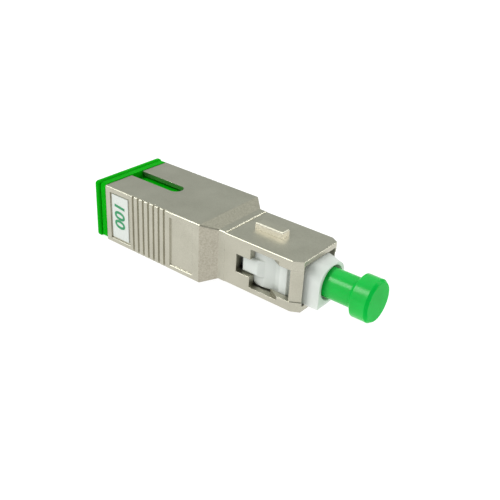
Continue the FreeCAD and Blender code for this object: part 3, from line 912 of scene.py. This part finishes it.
@dataclass
class FerruleUnit(Assembly):
    """The ceramic ferrule with its collar and the fibre in its bore."""

    dressing: ClassVar[dict[str, Finish]] = {
        "ferrule": Finish.CERAMIC,
        "ferrule_collar": Finish.COLLAR,
        "doped_fibre": Finish.GLASS,
    }


@dataclass
class GreenCovers(Assembly):
    """The pull-off cap on the ferrule and the dust plug in the receptacle."""

    dressing: ClassVar[dict[str, Finish]] = {
        "ferrule_cap": Finish.CAP,
        "dust_plug": Finish.DUST_PLUG,
    }


@dataclass(frozen=True)
class Softbox:
    """A soft lamp that faces the part from a given side, at a distance in metres."""

    name: str
    azimuth: float
    elevation: float
    distance: float
    width: float
    height: float
    power: float

    def build(self, centre: Vector) -> bpy.types.Object:
        """Hangs the lamp.

        Args:
            centre: the point that the lamp faces.

        Returns:
            The lamp.
        """
        lamp = bpy.data.lights.new(self.name, "AREA")
        lamp.shape = "RECTANGLE"
        lamp.size = self.width
        lamp.size_y = self.height
        lamp.energy = self.power
        holder = add_object(self.name, lamp)
        away = towards(self.azimuth, self.elevation)
        holder.location = centre + away * self.distance
        holder.rotation_euler = away.to_track_quat("Z", "Y").to_euler()
        LOG.info("%s hangs", holder.name)
        return holder


@dataclass(frozen=True)
class SkyPatch:
    """A part of the sky that is lighter or darker than the rest.

    The change is whole within the core's angle of its middle, and gone beyond the rim's angle.
    """

    azimuth: float
    elevation: float
    core: float
    rim: float
    change: float

    def build(self, tree: bpy.types.NodeTree, rest: Socket) -> Socket:
        """Adds the patch to the sky.

        Args:
            tree: the sky's node tree.
            rest: the sky's strength so far.

        Returns:
            The sky's strength with the patch in it.
        """
        middle = towards(self.azimuth, self.elevation)
        look = add_node(tree, "ShaderNodeTexCoord").outputs["Generated"]
        aim = add_node(
            tree, "ShaderNodeVectorMath", {"operation": "DOT_PRODUCT", 1: middle}, {0: look}
        ).outputs["Value"]
        settings = {
            "interpolation_type": "SMOOTHSTEP",
            "From Min": math.cos(math.radians(self.rim)),
            "From Max": math.cos(math.radians(self.core)),
            "To Min": 0.0,
            "To Max": self.change,
        }
        share = add_node(tree, "ShaderNodeMapRange", settings, {"Value": aim}).outputs["Result"]
        return add_node(
            tree, "ShaderNodeMath", {"operation": "ADD"}, {0: rest, 1: share}
        ).outputs["Value"]


@dataclass
class Studio:
    """A plain white floor, a soft sky that is darker above the camera, and soft lamps."""

    ground: float
    floor_gap: float = 0.00002
    floor_size: float = 4.0
    floor_colour: str = "808080"
    floor_roughness: float = 0.9
    floor_glow: float = 0.93
    glow_colour: str = "FFFFFF"
    sky_colour: str = "F9FFFB"
    sky_strength: float = 0.62
    lamp_aim: tuple[float, float, float] = (0.018, 0.0, 0.0)
    patches: tuple[SkyPatch, ...] = (
        SkyPatch(38.0, 62.0, 14.0, 28.0, -0.55),
        SkyPatch(176.0, 68.0, 20.0, 40.0, 0.4),
        SkyPatch(-37.0, 22.0, 8.0, 26.0, 0.65),
    )
    lamps: tuple[Softbox, ...] = (
        Softbox("left_softbox", -41.0, 47.0, 0.5, 0.2, 0.2, 1.2),
        Softbox("back_softbox", 146.0, 32.0, 0.5, 0.18, 0.18, 0.7),
    )

    def build(self) -> None:
        """Sets up the floor, the sky and the lamps."""
        self.lay_floor()
        self.light_sky()
        for lamp in self.lamps:
            lamp.build(Vector(self.lamp_aim))

    def lay_floor(self) -> bpy.types.Object:
        """Lays the floor just below the part, so that the two don't flicker into one another.

        Returns:
            The floor.
        """
        level = Vector((0.0, 0.0, self.ground - self.floor_gap))
        grid = bmesh.new()
        bmesh.ops.create_grid(grid, x_segments=1, y_segments=1, size=self.floor_size / 2)
        bmesh.ops.translate(grid, verts=grid.verts, vec=level)
        mesh = bpy.data.meshes.new("studio_floor")
        grid.to_mesh(mesh)
        grid.free()
        floor = add_object("studio_floor", mesh)
        pattern = Pattern("white_studio_board")
        pattern.set(
            Base_Color=linear(self.floor_colour),
            Roughness=self.floor_roughness,
            Emission_Color=linear(self.glow_colour),
            Emission_Strength=self.floor_glow,
        )
        mesh.materials.append(pattern.material)
        floor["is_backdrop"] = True
        LOG.info("%s is laid", floor.name)
        return floor

    def light_sky(self) -> bpy.types.World:
        """Lights the room from all round.

        Returns:
            The sky.
        """
        world = bpy.data.worlds.new("studio_sky")
        world.use_nodes = True
        tree = world.node_tree
        tree.nodes.clear()
        strength = add_node(tree, "ShaderNodeValue").outputs["Value"]
        strength.default_value = self.sky_strength
        for patch in self.patches:
            strength = patch.build(tree, strength)
        settings = {"Color": linear(self.sky_colour)}
        sky = add_node(tree, "ShaderNodeBackground", settings, {"Strength": strength})
        surface = sky.outputs["Background"]
        add_node(tree, "ShaderNodeOutputWorld", links={"Surface": surface})
        bpy.context.scene.world = world
        bpy.context.scene.view_settings.view_transform = "Standard"
        bpy.context.scene.view_settings.look = "None"
        LOG.info("%s is lit", world.name)
        return world


@dataclass
class PhotoCamera:
    """The camera, where the photograph was taken from.

    It is turned towards the target, and its focal length is given in the photograph's own pixels.
    """

    azimuth: float = 36.946
    elevation: float = 28.752
    roll: float = 3.29
    distance: float = 99.294
    focal_pixels: float = 722.35
    sensor_width: float = 36.0
    nearest: float = 5.0
    furthest: float = 10000.0
    target: tuple[float, float, float] = (21.984, 0.0, -0.348)

    def build(self) -> bpy.types.Object:
        """Places the camera.

        Returns:
            The camera.
        """
        back = towards(self.azimuth, self.elevation)
        level = (-back).cross(Vector((0.0, 0.0, 1.0))).normalized()
        upward = level.cross(-back)
        roll = math.radians(self.roll)
        right = level * math.cos(roll) + upward * math.sin(roll)
        above = upward * math.cos(roll) - level * math.sin(roll)
        lens = bpy.data.cameras.new("photo_camera")
        lens.sensor_width = self.sensor_width
        lens.lens = self.sensor_width * self.focal_pixels / PHOTO_PIXELS
        lens.clip_start = self.nearest * MM
        lens.clip_end = self.furthest * MM
        camera = add_object("photo_camera", lens)
        turn = Matrix((right, above, back)).transposed().to_4x4()
        place = (Vector(self.target) + back * self.distance) * MM
        camera.matrix_world = Matrix.Translation(place) @ turn
        bpy.context.scene.camera = camera
        LOG.info("%s stands", camera.name)
        return camera


def main() -> None:
    """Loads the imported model, dresses it and sets the stage."""
    logging.basicConfig(level=logging.INFO, format="%(name)s: %(message)s")
    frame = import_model()
    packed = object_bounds()
    PhotoCamera().build()
    finishes = Finishes()
    for assembly in (MetalHousing, PlugCore, FerruleUnit, GreenCovers):
        assembly(finishes, frame).build()
        LOG.info("%s is done", assembly.__name__)
    Studio(packed[0].z).build()


if __name__ == "__main__":
    main()
